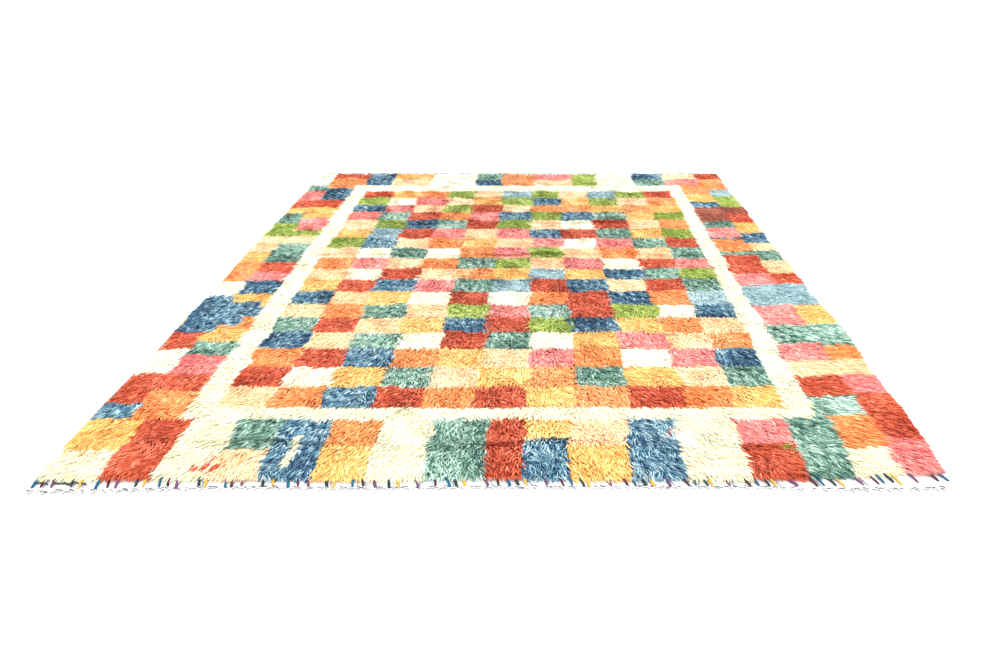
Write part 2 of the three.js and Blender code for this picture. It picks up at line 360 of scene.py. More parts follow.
def buildMesh(name, points, corners, starts, materials, slots=None, smooth=True):
    mesh = bpy.data.meshes.new(name)
    mesh.vertices.add(len(points))
    mesh.vertices.foreach_set("co", np.ascontiguousarray(points, np.float32).ravel())
    mesh.loops.add(len(corners))
    mesh.loops.foreach_set("vertex_index", np.ascontiguousarray(corners, np.int32))
    mesh.polygons.add(len(starts))
    mesh.polygons.foreach_set("loop_start", np.ascontiguousarray(starts, np.int32))
    if slots is not None:
        mesh.polygons.foreach_set("material_index", np.ascontiguousarray(slots, np.int32))
    mesh.polygons.foreach_set("use_smooth", np.full(len(starts), smooth))
    for material in materials:
        mesh.materials.append(material)
    mesh.update(calc_edges=True)
    made = bpy.data.objects.new(name, mesh)
    bpy.context.scene.collection.objects.link(made)
    return made


# How the wools differ: first what most of them have, then those that have something else. The paler
# ones are softer spun, cover the ground better, and lie flatter and more evenly
wools = {
    "rootPaintedShade": (0.80, {  # painted shade at a strand's root, as a share of its colour
        "cream": 0.98, "beige": 0.95, "yellow": 0.92, "sky": 0.88, "pink": 0.88, "orange": 0.88,
    }),
    "fullness": (1.0, {
        "cream": 1.80, "beige": 1.45, "yellow": 1.30, "pink": 1.12, "orange": 1.12, "denim": 0.88,
        "teal": 0.92,
    }),
    # Short fluff on the ground that fills the gaps between the strands, in metres
    "fluff": (0.0, {"cream": 0.0065, "beige": 0.0045, "yellow": 0.0035, "orange": 0.0015, "pink": 0.0015}),
    "flatter": (0, {"cream": 9, "beige": 6, "yellow": 5}),  # degrees
    # How much its strands stray, as a share of what the others do
    "stray": (1.0, {"cream": 0.5, "beige": 0.65, "yellow": 0.75, "pink": 0.85, "orange": 0.85}),
    "whorled": (1.0, {"cream": 0.35}),  # how open its whorls stay, and how much painted shade their gaps carry
    "mottled": (0, {"denim": 1, "teal": 1}),  # those two took the dye unevenly
    "bleached": (1, {"denim": 2, "teal": 2, "red": 3}),  # times the usual share of its strands
    # Painted shade darkens the near end, the undyed wool most, and painted light makes the far half
    # paler. Both are shares of a dye's run from its darkest shade to its palest
    "nearPaintedShade": (0.10, {"cream": 0.85, "denim": -0.04, "teal": -0.04}),
    "farPaintedLight": (0.20, {"cream": 0.35, "beige": 0.35, "red": 0.10, "teal": 0.08, "denim": 0.05, "lime": 0.05}),
}


def perDye(trait):
    usual, others = wools[trait]
    return np.array([others.get(name, usual) for name in dyeNames])


# Wool dyed in the hank and knotted by hand: matt, with a soft bloom, and painted shade that darkens each
# strand towards its root
def dyedWool(name):
    shades = [linear(h) for h in dyes[name]]
    stops = [(number / (len(shades) - 1), shade) for number, shade in enumerate(shades)]
    material, tree = newMaterial("dyedWool_" + name)
    strand = node(tree, "ShaderNodeUVMap", {"uv_map": "OFBake"})
    parts = node(tree, "ShaderNodeSeparateXYZ", {}, {0: strand.outputs["UV"]})
    tone = node(tree, "ShaderNodeValToRGB", {"stops": stops}, {"Fac": parts.outputs["X"]})
    # Painted shade: the colour darkens from partway along the strand down to its root
    depth = node(tree, "ShaderNodeMapRange",
                 {"From Min": 0.0, "From Max": 0.6, "To Max": 1.0,
                  "To Min": perDye("rootPaintedShade")[dyeNames.index(name)]},
                 {"Value": parts.outputs["Y"]})
    shaded = node(tree, "ShaderNodeMix", {"data_type": "RGBA", "blend_type": "MULTIPLY", 0: 1.0},
                  {6: tone.outputs["Color"], 7: depth.outputs["Result"]})
    skin = node(tree, "ShaderNodeBsdfPrincipled",
                {"Roughness": 0.92, "Specular IOR Level": 0.12, "Sheen Weight": 0.1, "Sheen Roughness": 0.5},
                {"Base Color": shaded.outputs[2]})
    node(tree, "ShaderNodeOutputMaterial", {}, {"Surface": skin.outputs[0]})
    return material


# Knotted ground: one cloth, its collars uneven, its underside flat on the floor
ground = {
    "height": 0.0060,
    "lump": 0.0024,
    "parting": (0.0018, 0.03),  # how far it sinks at a parting, and how wide
    "knot": (0.0047, 0.0062),  # from knot to knot, from row to row
    "seam": 0.0006,  # between two knots
}


# Knot collars between the tufts, and the knots' backs below: the same dyes, in rows, painted a step darker
# than the strands as shade under the pile, with darker seams between the knots
def knotCollarsPaintedShade(name):
    shades = [linear(h) for h in dyes[name]]
    # Painted shade: the collars mix the dye's middle shade with the one below it, darker than most strands
    dark, middle = shades[len(shades) // 2 - 1], shades[len(shades) // 2]
    seam = tuple(0.85 * c for c in dark[:3]) + (1.0,)
    material, tree = newMaterial("knotCollarsPaintedShade_" + name)
    place = node(tree, "ShaderNodeTexCoord")
    rows = node(tree, "ShaderNodeTexBrick",
                {"offset": 0.0, "Color1": middle, "Color2": dark, "Mortar": seam, "Scale": 1.0, "Bias": -0.3,
                 "Mortar Size": ground["seam"], "Mortar Smooth": 0.6,
                 "Brick Width": ground["knot"][0], "Row Height": ground["knot"][1]},
                {"Vector": place.outputs["Object"]})
    raised = node(tree, "ShaderNodeBump", {"Strength": 0.7, "Distance": 0.0012, "invert": True},
                  {"Height": rows.outputs["Fac"]})
    skin = node(tree, "ShaderNodeBsdfPrincipled", {"Roughness": 0.95, "Specular IOR Level": 0.1},
                {"Base Color": rows.outputs["Color"], "Normal": raised.outputs["Normal"]})
    node(tree, "ShaderNodeOutputMaterial", {}, {"Surface": skin.outputs[0]})
    return material


collars = [knotCollarsPaintedShade(name) for name in dyeNames]


def groundTop(x, y):
    low, wide = ground["parting"]
    return ground["height"] + ground["lump"] * lumpAt(x, y) - low * partingAt(x, y, wide)


def makeGround():
    gridX, gridY = np.meshgrid(xLines, yLines)
    nx, ny = len(xLines), len(yLines)
    placeX, placeY = bowed(gridX, gridY)
    fluff = np.pad(perDye("fluff")[plan], 1, mode="edge")
    fluff = np.minimum.reduce([fluff[1:, 1:], fluff[1:, :-1], fluff[:-1, 1:], fluff[:-1, :-1]])
    top = np.stack([placeX, placeY, groundTop(gridX, gridY) + fluff], -1).reshape(-1, 3)
    bottom = np.stack([placeX, placeY, np.zeros_like(placeX)], -1).reshape(-1, 3)
    index = np.arange(nx * ny).reshape(ny, nx)
    a, b, c, d = index[:-1, :-1], index[:-1, 1:], index[1:, 1:], index[1:, :-1]
    above = np.stack([a, b, c, d], -1).reshape(-1, 4)
    below = above[:, ::-1] + nx * ny
    rim = np.concatenate([index[0, :], index[1:, -1], index[-1, -2::-1], index[-2:0:-1, 0]])
    after = np.roll(rim, -1)
    wall = np.stack([rim + nx * ny, after + nx * ny, after, rim], -1)
    quads = np.concatenate([above, below, wall])
    slots = np.concatenate([plan.ravel(), plan.ravel(), np.zeros(len(wall), int)])
    corners = quads.ravel()
    starts = np.arange(0, len(corners), 4)
    return buildMesh("knottedGround", np.concatenate([top, bottom]), corners, starts, collars, slots)


knottedGround = makeGround()
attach(knottedGround, "root")
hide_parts("pile_slab")
print("ground made,", len(knottedGround.data.polygons), "faces")

# The pile: loose bent strands of wool that narrow to both ends, about two to each knot
pile = {
    "seed": 5,
    "pitch": 0.0061,  # between strands
    "jitter": 0.45,  # of the pitch, either way
    "long": 0.037,
    "longSpread": (0.13, 0.65, 1.3),  # how much lengths differ, the least and the most
    "half": 0.0021,  # half the width of a strand at its belly
    "halfSpread": (0.22, 0.5, 1.6),
    "share": 0.40,  # of its length, below the belly
    "highest": 0.0335,  # its tip, above the floor
    "lowest": 0.0012,
    "fan": (2, 31, 9),  # degrees: turned in the middle, outwards to both sides, further over at the right
    "drifts": [(8, 0.34, 1), (12, 0.062, 2)],  # degrees, over what length, seed
    "ownTurn": 8,  # degrees
    "curl": 11,  # degrees, between the belly and the tip
    "splay": 130,  # degrees, either way at the far end
    "lock": 0.034,  # strands this near lean together
    "lockTurn": 5,  # degrees
    "pull": (0.05, 0.30),  # how far tips are drawn to the middle of their lock
    "miss": 0.009,  # how far blocks may miss each other from row to row
    "blur": (0.0022, 0.0026),  # how uneven a block's edges are, across and along
    "streak": 0.017,  # from streak to streak of an odd tuft
    "standing": (0.016, 0.012),  # strands stand up past a parting: over what width, how far ahead
    "inner": 0.96,  # the cream is two pieces, parted here across the rug
}
# Slopes in degrees, usual and in particular places: from the knot to the belly, and on to the tip
riseBy = {"usual": 47, "lump": 6, "own": 5, "parted": 24, "droop": -12, "tuck": -22}
lieBy = {"usual": 9, "lump": 3, "own": 5, "parted": 26, "droop": -34, "drift": 4}
shorter = {"parted": 0.2, "gap": 0.5, "splay": 0.35, "spill": 0.3, "trim": 0.3}  # shares of the length
# How far in from its edges the pile lies otherwise
pileRim = {
    "spill": 0.020,  # the sides spill outwards over the selvedges
    "tuck": 0.030,  # on the left they lie low and leave the selvedge bare, along the near part
    "tuckFades": 0.3,  # beyond the rug's middle
    "droop": 0.024,  # over the near web
    "trim": 0.020,  # the near end is cut shorter
    "splay": 0.016,  # the far end stands every way
    "farWeb": 0.020,  # its strands stay above the far web
}
# Tones, as shares of a dye's run from its darkest shade to its palest
tones = {
    "usual": 0.47,
    "block": 0.10,  # from block to block, either way
    "drifts": [(0.10, 0.12, 6), (0.13, 0.017, 7)],  # how much, over what length, seed
    "own": 0.10,  # from strand to strand
    "mottled": (0.5, 0.06),  # where the dye took unevenly: share more of drifts, more from strand to strand
    "gap": -0.5,  # in a whorl's gap: painted shade
    "bleached": (0.05, 0.35),  # share of the strands, how much
    "paintedShadeReach": 0.6,  # how far in from the near end the painted shade reaches
}
# A strand is a slender wedge of four points: its root, its belly's left and right, and its tip. Its faces
# run from root to belly, on to the tip, and underneath. On the bake map u carries the tone, v runs along it
wedge = {
    "faces": [(0, 1, 2), (1, 3, 2), (0, 3, 1), (2, 3, 0)],
    "u": (0.0, 0.010, 0.003),  # for a face's three corners, each face after the last
    "v": (0.02, 0.5, 0.5, 0.98),  # for the four points
}

# Whorls: small curved gaps where a hand or foot has parted the pile, the strands turned away from them and
# painted darker in the gap as shade
whorls = {
    "seed": 23,
    "count": 300,
    "radius": (0.009, 0.026),
    "arc": (0.5, 1.2),  # radians, either way from its middle
    "line": 0.0030,  # how wide the gap is
    "turn": 34,  # degrees
    "facing": 0.5,  # radians, how far they face away from the far end
    "within": 0.05,  # no further than this from their middle
}

# Odd tufts of another dye, worked in as repairs or by whim: place, reach, dye, how many in a hundred
oddTufts = [
    (-0.780, -1.395, 0.055, 0.060, "red", 34), (-0.690, -1.360, 0.030, 0.040, "orange", 22),
    (0.115, -1.270, 0.045, 0.020, "orange", 20), (0.500, -1.250, 0.026, 0.055, "red", 30),
    (0.545, -1.385, 0.050, 0.022, "pink", 26), (-0.405, -1.405, 0.070, 0.028, "yellow", 38),
    (0.820, -1.320, 0.030, 0.050, "lime", 18), (-1.150, -1.330, 0.060, 0.050, "orange", 16),
    (0.950, -1.050, 0.020, 0.050, "teal", 18), (0.240, 1.330, 0.060, 0.040, "orange", 36),
    (-0.560, -0.330, 0.020, 0.030, "yellow", 30), (0.330, -0.190, 0.018, 0.018, "madder", 40),
]


def whorlsAt(x, y):
    random = np.random.default_rng(whorls["seed"])
    gap, swirl = np.zeros_like(x), np.zeros_like(x)
    for _ in range(whorls["count"]):
        atX, atY = random.uniform(-halfWidth, halfWidth), random.uniform(-halfLength, halfLength)
        radius, reach = random.uniform(*whorls["radius"]), random.uniform(*whorls["arc"])
        facing = random.normal(math.pi / 2, whorls["facing"])
        near = np.flatnonzero(np.maximum(np.abs(x - atX), np.abs(y - atY)) < whorls["within"])
        overX, overY = x[near] - atX, y[near] - atY
        angle = (np.arctan2(overY, overX) - facing + math.pi) % (2 * math.pi) - math.pi
        along = np.sqrt(np.clip(1 - np.abs(angle) / reach, 0, 1))
        across = np.hypot(overX, overY) - radius
        gap[near] = np.maximum(gap[near], along * np.exp(-(across / whorls["line"]) ** 2))
        swirl[near] -= along * np.clip(angle, -1, 1) * np.exp(-(across / (3 * whorls["line"])) ** 2)
    return gap, swirl


def atEdge(distance, reach):  # 1 on an edge, 0 from its reach inwards
    return np.clip(1 - distance / reach, 0, 1)


def chooseDyes(random, x, y):  # of the chart's blocks, a little uneven at their edges, and of odd tufts
    reachX, reachY = chart["missReach"]
    miss = pile["miss"] * ((np.abs(x) < reachX) & (np.abs(y) < reachY))
    blockX, blockY = x / chart["block"][0], (y - chart["fieldY"][0]) / chart["block"][1]
    blurX, blurY = pile["blur"]
    shiftX = miss * clumpValue(np.round(blockX), np.floor(blockY), 13) + random.normal(0, blurX, len(x))
    shiftY = 0.5 * miss * clumpValue(np.floor(blockX), np.round(blockY), 14) + random.normal(0, blurY, len(x))
    seenX = np.clip(x + shiftX, -halfWidth, halfWidth)
    seenY = np.clip(y + shiftY, -halfLength, halfLength)
    cellX = np.clip(np.searchsorted(xLines, seenX) - 1, 0, plan.shape[1] - 1)
    cellY = np.clip(np.searchsorted(yLines, seenY) - 1, 0, plan.shape[0] - 1)
    dye = plan[cellY, cellX]
    for atX, atY, reachX, reachY, name, percent in oddTufts:
        near = hump(np.hypot((x - atX) / reachX, (y - atY) / reachY), 1.0)
        streaks = 0.5 + 0.5 * np.sin(x * 2 * math.pi / pile["streak"] + 3 * drift(x, y, 0.05, 12))
        dye = np.where(random.random(len(x)) < 0.02 * percent * near * streaks, dyeNames.index(name), dye)
    return dye, tonePlan[cellY, cellX]


def chooseTones(random, x, y, dye, blockTone, gap):
    mottled = perDye("mottled")[dye]
    moreDrift, moreOwn = tones["mottled"]
    tone = tones["usual"] + tones["block"] * blockTone
    for amount, length, seed in tones["drifts"]:
        tone = tone + (1 + moreDrift * mottled) * amount * drift(x, y, length, seed)
    # Painted shade darkens the strands in a whorl's gap
    tone = tone + random.normal(0, tones["own"] + moreOwn * mottled, len(x)) + tones["gap"] * gap
    share, amount = tones["bleached"]
    tone = tone + amount * (random.random(len(x)) < share * perDye("bleached")[dye])
    # Painted shade at the near end, painted light over the far half
    tone = tone - perDye("nearPaintedShade")[dye] * atEdge(y + halfLength, tones["paintedShadeReach"])
    return np.clip(tone + perDye("farPaintedLight")[dye] * np.clip(y / halfLength, 0, 1), 0.01, 0.95)


def makeTufts():
    random = np.random.default_rng(pile["seed"])
    jitter, lock = pile["jitter"], pile["lock"]
    across, along = (round(rug[size] / pile["pitch"]) for size in ("width", "length"))
    column, row = np.meshgrid(np.arange(across), np.arange(along))
    count = column.size
    x = (column.ravel() + 0.5 + random.uniform(-jitter, jitter, count)) / across * rug["width"] - halfWidth
    y = (row.ravel() + 0.5 + random.uniform(-jitter, jitter, count)) / along * rug["length"] - halfLength
    dye, blockTone = chooseDyes(random, x, y)
    stray = perDye("stray")[dye]

    lockX, lockY = np.floor(x / lock), np.floor(y / lock)
    centreX = (lockX + 0.5 + 0.35 * clumpValue(lockX, lockY, 5)) * lock
    centreY = (lockY + 0.5 + 0.35 * clumpValue(lockX, lockY, 6)) * lock
    lump = lumpAt(x, y)
    parted = partingAt(x, y, *pile["standing"])
    gap, swirl = whorlsAt(x, y)
    gap = gap * perDye("whorled")[dye]
    fromSide, fromNear, fromFar = halfWidth - np.abs(x), y + halfLength, halfLength - y
    spill = atEdge(fromSide, pileRim["spill"])
    tuck = (x < 0) * atEdge(fromSide, pileRim["tuck"]) * atEdge(y, pileRim["tuckFades"])
    droop = np.maximum(atEdge(fromNear, pileRim["droop"]), spill)
    splay = atEdge(fromFar, pileRim["splay"])
    trim = atEdge(fromNear, pileRim["trim"])

    # Which way a strand lies: down the rug in its middle, and fanning outwards to both sides
    side = x / halfWidth
    loose = (1 - 0.5 * np.abs(side)) * stray  # combed straighter at the sides
    middle, outwards, further = pile["fan"]
    turn = middle + outwards * side + further * side ** 2
    for degrees, length, seed in pile["drifts"]:
        turn = turn + degrees * drift(x, y, length, seed)
    turn = turn + pile["lockTurn"] * clumpValue(lockX, lockY, 7) + whorls["turn"] * swirl
    turn = turn + pile["ownTurn"] * loose * random.normal(0, 1, count)
    turn = turn * (1 - 0.4 * spill) * (1 - 0.8 * tuck) + np.sign(x) * spill * (1 - tuck) * 8
    turn = turn + splay * random.uniform(-pile["splay"], pile["splay"], count)
    lie = lieBy["usual"] + lieBy["lump"] * lump + lieBy["drift"] * drift(x, y, 0.055, 3)
    lie = lie + lieBy["droop"] * droop
    lie = lie + (random.normal(0, lieBy["own"], count) + lieBy["parted"] * parted) * stray
    rise = riseBy["usual"] + riseBy["droop"] * droop + riseBy["tuck"] * tuck - perDye("flatter")[dye]
    own = random.normal(0, riseBy["own"], count)
    rise = rise + (riseBy["lump"] * lump + own + riseBy["parted"] * parted) * stray
    spread, least, most = pile["longSpread"]
    long = pile["long"] * np.clip(random.normal(1, spread, count), least, most)
    long = long * (1 + 0.08 * drift(x, y, 0.2, 4))
    for cause, amount in {"parted": parted, "gap": gap, "splay": splay, "spill": spill, "trim": trim}.items():
        long = long * (1 - shorter[cause] * amount)
    curl = turn + pile["curl"] * (loose * random.normal(0, 1, count) + drift(x, y, 0.045, 9))

    turn, curl, rise, lie = (np.radians(v) for v in (turn, curl, rise, lie))
    placeX, placeY = bowed(x, y)
    root = np.stack([placeX, placeY, groundTop(x, y) - 0.001], -1)  # sunk a little into the ground
    up = np.stack([np.sin(turn) * np.cos(rise), -np.cos(turn) * np.cos(rise), np.sin(rise)], -1)
    over = np.stack([np.sin(curl) * np.cos(lie), -np.cos(curl) * np.cos(lie), np.sin(lie)], -1)
    belly = root + up * (long * pile["share"])[:, None]
    tip = belly + over * (long * (1 - pile["share"]))[:, None]
    pull = random.uniform(*pile["pull"], count) * (1 - spill) * (1 - splay)
    tip[:, 0] += (centreX + datum[0] - placeX) * pull
    tip[:, 1] += (centreY + datum[1] - placeY) * pull * 0.4
    overWeb = (tip[:, 1] < bowed(x, np.full(count, -halfLength))[1]) | (fromFar < pileRim["farWeb"])
    lowest = np.where(overWeb, rug["webThick"] + 0.001, pile["lowest"])
    tip[:, 2] = np.clip(tip[:, 2], lowest, pile["highest"])

    spread, least, most = pile["halfSpread"]
    half = pile["half"] * np.clip(random.normal(1, spread, count), least, most) * perDye("fullness")[dye]
    bend = up + over
    flank = np.stack([-bend[:, 1], bend[:, 0], np.zeros(count)], -1)
    flank *= (half / np.linalg.norm(flank, axis=1))[:, None]
    left, right = belly + flank, belly - flank
    hollow = np.einsum("ij,ij->i", np.cross(left - root, right - root), tip - root) > 0
    left[hollow], right[hollow] = right[hollow], left[hollow].copy()  # so that every face points outwards
    tone = chooseTones(random, x, y, dye, blockTone, gap)
    return {"points": np.stack([root, left, right, tip], 1), "dye": dye, "tone": tone, "x": x, "y": y}


tufts = makeTufts()


def makePilePiece(name, chosen, material):
    points = tufts["points"][chosen]
    strand = np.concatenate(wedge["faces"])
    corners = (strand + points.shape[1] * np.arange(len(points))[:, None]).ravel()
    starts = np.arange(0, corners.size, 3)
    made = buildMesh(name, points.reshape(-1, 3), corners, starts, [material], smooth=False)
    face, corner = np.divmod(np.arange(len(strand)), 3)
    u = tufts["tone"][chosen][:, None] + wedge["u"][1] * face + np.array(wedge["u"])[corner]
    v = np.broadcast_to(np.array(wedge["v"])[strand], u.shape)
    strands = made.data.uv_layers.new(name="OFBake")
    strands.data.foreach_set("uv", np.stack([u, v], -1).astype(np.float32).ravel())
    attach(made, "root")
    return made


frameNear, frameFar = chart["frameY"]
inFrame = (np.abs(tufts["x"]) < pile["inner"]) & (tufts["y"] > frameNear) & (tufts["y"] < frameFar)
for number, name in enumerate(dyeNames):
    chosen = tufts["dye"] == number
    wool = dyedWool(name)
    parts = {"pile_" + name: chosen}
    if name == "cream":
        parts = {"pile_cream_inner": chosen & inFrame, "pile_cream_border": chosen & ~inFrame}
    for pieceName, mask in parts.items():
        if mask.any():
            makePilePiece(pieceName, mask, wool)


# Yarns are drawn as curves with a round section and made meshes
def yarn(points, radius, sides=1):
    bpy.ops.curve.primitive_bezier_curve_add()
    drawn = bpy.context.object
    drawn.data.bevel_depth = radius
    drawn.data.bevel_resolution = sides - 1
    drawn.data.resolution_u = 2
    drawn.data.use_fill_caps = True
    spline = drawn.data.splines[0]
    spline.bezier_points.add(len(points) - 2)
    for point, place in zip(spline.bezier_points, points):
        point.co = place
        point.handle_left_type = point.handle_right_type = "AUTO"
    bpy.ops.object.convert(target="MESH")
    return bpy.context.object


def asPattern(objects):  # one small shape as arrays, to be laid many times
    bpy.ops.object.select_all(action="DESELECT")
    for made in objects:
        made.select_set(True)
    bpy.context.view_layer.objects.active = objects[0]
    if len(objects) > 1:
        bpy.ops.object.join()
    whole = bpy.context.object
    bpy.ops.object.transform_apply(location=True, rotation=True, scale=True)
    mesh = whole.data
    points = np.array([v.co[:] for v in mesh.vertices])
    corners = np.array([i for p in mesh.polygons for i in p.vertices])
    sizes = np.array([len(p.vertices) for p in mesh.polygons])
    bpy.data.objects.remove(whole)
    bpy.data.meshes.remove(mesh)
    return points, corners, sizes


# A place says: which pattern, x, y, turn, how far it is stretched in x, y and z, which material
def layMany(name, patterns, places, materials, settle=None):
    points, corners, starts, slots = [], [], [], []
    vertices = loops = 0
    for which, x, y, turn, stretch, slot in places:
        local, faces, sizes = patterns[which]
        spun = local * stretch
        c, s = math.cos(turn), math.sin(turn)
        spun = np.stack([spun[:, 0] * c - spun[:, 1] * s, spun[:, 0] * s + spun[:, 1] * c, spun[:, 2]], -1)
        points.append(spun + (x, y, 0))
        corners.append(faces + vertices)
        starts.append(np.append(0, np.cumsum(sizes))[:-1] + loops)
        slots.append(np.full(len(sizes), slot))
        vertices += len(local)
        loops += len(faces)
    points, corners, starts, slots = (np.concatenate(part) for part in (points, corners, starts, slots))
    if settle:
        points[:, 2] += settle(points[:, 0], points[:, 1])
    made = buildMesh(name, points, corners, starts, materials, slots)
    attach(made, "root")
    return made


waveBand = 0.314  # metres from band to band of a wave texture whose scale is 1
weave = {"Y": (0.0022, 0.4), "X": (0.0034, 0.3)}  # picks and warps: their spacing, how uneven they are


# Undyed cotton, flat woven in plain weave: matt, cool white, its picks just showing as fine ribs
def wovenCotton():
    material, tree = newMaterial("wovenCotton")
    place = node(tree, "ShaderNodeTexCoord")
    threads = []
    for direction, (spacing, uneven) in weave.items():
        threads.append(node(tree, "ShaderNodeTexWave",
                            {"bands_direction": direction, "Scale": waveBand / spacing,
                             "Distortion": uneven, "Detail": 1.0},
                            {"Vector": place.outputs["Object"]}))
    crossed = node(tree, "ShaderNodeMath", {"operation": "MULTIPLY"},
                   {0: threads[0].outputs["Fac"], 1: threads[1].outputs["Fac"]})
    soil = node(tree, "ShaderNodeTexNoise", {"Scale": 14.0, "Detail": 3.0},
                {"Vector": place.outputs["Object"]})
    tone = node(tree, "ShaderNodeValToRGB", {"stops": [(0.3, linear("dcdad6")), (0.7, linear("e8e8e8"))]},
                {"Fac": soil.outputs["Fac"]})
    raised = node(tree, "ShaderNodeBump", {"Strength": 0.5, "Distance": 0.0008},
                  {"Height": crossed.outputs[0]})
    skin = node(tree, "ShaderNodeBsdfPrincipled", {"Roughness": 0.9, "Specular IOR Level": 0.2},
                {"Base Color": tone.outputs["Color"], "Normal": raised.outputs["Normal"]})
    node(tree, "ShaderNodeOutputMaterial", {}, {"Surface": skin.outputs[0]})
    return material


# Spun yarn, plied: matt with a faint gloss, and a fine slanting ply along it, its grooves painted darker as
# shade
def pliedYarn(name, hexDark, hexPale, ply=0.0030):
    material, tree = newMaterial(name)
    place = node(tree, "ShaderNodeTexCoord")
    turned = node(tree, "ShaderNodeMapping", {"Rotation": (0.0, 0.6, 0.6)},
                  {"Vector": place.outputs["Object"]})
    plies = node(tree, "ShaderNodeTexWave",
                 {"bands_direction": "DIAGONAL", "Scale": waveBand / ply, "Distortion": 1.2, "Detail": 2.0},
                 {"Vector": turned.outputs[0]})
    # Painted shade: the colour is darkest where the ply's bump is lowest
    tone = node(tree, "ShaderNodeValToRGB", {"stops": [(0.0, linear(hexDark)), (0.8, linear(hexPale))]},
                {"Fac": plies.outputs["Fac"]})
    raised = node(tree, "ShaderNodeBump", {"Strength": 0.5, "Distance": 0.0006},
                  {"Height": plies.outputs["Fac"]})
    skin = node(tree, "ShaderNodeBsdfPrincipled", {"Roughness": 0.8, "Specular IOR Level": 0.3},
                {"Base Color": tone.outputs["Color"], "Normal": raised.outputs["Normal"]})
    node(tree, "ShaderNodeOutputMaterial", {}, {"Surface": skin.outputs[0]})
    return material


cotton = wovenCotton()
warpYarn = pliedYarn("pliedCotton", "c9c6c0", "e6e4e0", 0.0024)

# Knotted fringe: warps gathered from the web's edge into a knot, their ends loose beyond it
fringe = {
    "seed": 17,
    "pitch": (0.017, 0.044),  # from one knot to the next
    "gather": 0.009,  # from the web to the knot
    "loose": 0.021,
    "warps": (-1.0, -0.55, -0.12, 0.25, 0.62, 1.0),  # across a bundle
    "thread": 0.0011,  # radius
    "spread": (0.0105, 0.0016, 0.004, 0.009),  # half a bundle's width: web, knot, halfway, tips
    "knot": (0.0024, 0.0014, 0.0042),  # radius, of its yarn, height
    "wide": 0.030,  # pitch that a bundle is drawn for
    "corners": (0.008, 0.006),  # left bare at the left and right selvedge
    "most": 200,  # knots at one end
}


def fringeBundle(seed):
    random = np.random.default_rng(seed)
    parts = []
    atWeb, atKnot, halfway, atTips = fringe["spread"]
    gather = fringe["gather"]
    for share in fringe["warps"]:
        end = share * random.uniform(0.5, 1.1) + random.uniform(-0.3, 0.3)
        reach = fringe["loose"] * random.uniform(0.55, 1.0)
        parts.append(yarn([
            (share * atWeb, 0.0015, 0.0028 + 0.0034 * abs(share)),
            (share * atKnot, -gather, 0.0032),
            (end * halfway, -gather - reach * 0.45, 0.0022),
            (end * atTips, -gather - reach, 0.0016),
        ], fringe["thread"]))
    radius, thick, height = fringe["knot"]
    bpy.ops.mesh.primitive_torus_add(
        location=(0, -gather, height), rotation=(math.radians(90), random.uniform(-0.3, 0.3), 0),
        major_radius=radius, minor_radius=thick, major_segments=8, minor_segments=5)
    parts.append(bpy.context.object)
    return asPattern(parts)


bundles = [fringeBundle(seed) for seed in (3, 4, 5, 6)]
endLine = np.linspace(-halfWidth, halfWidth, 200)


def endEdge(x, end):  # how far along the rug the pile ends, at a place across it
    line = bowed(endLine, np.full_like(endLine, outward[end] * halfLength))
    return np.interp(x, line[0], line[1])


def knotPlaces(end):
    random = np.random.default_rng(fringe["seed"] + (end == "far"))
    left, right = (bowed(side * halfWidth, outward[end] * halfLength)[0] for side in (-1, 1))
    bareLeft, bareRight = fringe["corners"]
    places = left + bareLeft + np.append(0, np.cumsum(random.uniform(*fringe["pitch"], fringe["most"])))
    return places[places < right - bareRight]


def makeFringe(end, knots):
    out = outward[end]
    random = np.random.default_rng(fringe["seed"])
    places = []
    for x, pitch in zip(knots, np.gradient(knots)):
        edge = endEdge(x, end) + out * (rug["gap"] + webDepthAt(end, x))
        turn = math.radians(random.uniform(-9, 9)) + (math.pi if out > 0 else 0)
        places.append((random.integers(len(bundles)), x, edge, turn,
                       (pitch / fringe["wide"], random.uniform(0.8, 1.05), random.uniform(0.9, 1.1)), 0))
    made = layMany("knottedFringe_" + end, bundles, places, [warpYarn])
    return made


# Flat-woven strip at each end, pinned down by the knots and arched a little between them
web = {
    "cells": (980, 4),
    "arch": (-0.0020, 0.0046),  # how far its outer edge rises between two knots; below 0 it stays down
    "wave": 0.0005,
    "width": 0.9995,  # of the ground's
    "cloth": (0.8, 0.75),  # its top and its thickness, as shares of the solid's
}


def webRise(x, share, knots):  # x across, share 0 at the pile and 1 at the fringe
    after = np.clip(np.searchsorted(knots, x), 1, len(knots) - 1)
    along = np.clip((x - knots[after - 1]) / (knots[after] - knots[after - 1]), 0, 1)
    low, high = web["arch"]
    tall = np.maximum(0.0, low + (high - low) * (0.5 + 0.5 * clumpValue(after, 3, 15)))
    tall = tall * (1 + 0.22 * drift(x, 0.0, 0.005, 22))
    start, finish = (0.14 + 0.12 * clumpValue(after, row, 16) for row in (1, 2))
    flank = np.minimum(along - start, 1 - finish - along) / 0.07
    wave = web["wave"] * np.maximum(0.0, 1 + drift(x, share * 0.03, 0.05, 21))
    return tall * np.clip(flank, 0, 1) * share ** 1.6 + wave


def makeWeb(end, knots):
    out = outward[end]
    top, thickness = (rug["webThick"] * share for share in web["cloth"])
    bpy.ops.object.select_all(action="DESELECT")
    bpy.ops.mesh.primitive_grid_add(x_subdivisions=web["cells"][0], y_subdivisions=web["cells"][1], size=1)
    made = bpy.context.object
    made.name = "flatWeb_" + end
    for vertex in made.data.vertices:
        share = 0.5 + vertex.co.y * out  # 0 at the pile, 1 at the fringe
        px, py = bowed(vertex.co.x * rug["width"] * web["width"], out * halfLength)
        depth = rug["gap"] + webDepthAt(end, px) * share
        vertex.co = (px, py + out * depth, top + webRise(px, share, knots))
    thick = made.modifiers.new("thick", "SOLIDIFY")
    thick.thickness = thickness
    thick.offset = -1
    bpy.ops.object.modifier_apply(modifier="thick")
    made.data.materials.append(cotton)
    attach(made, "root")
    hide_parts("fringe_" + end)
    return made


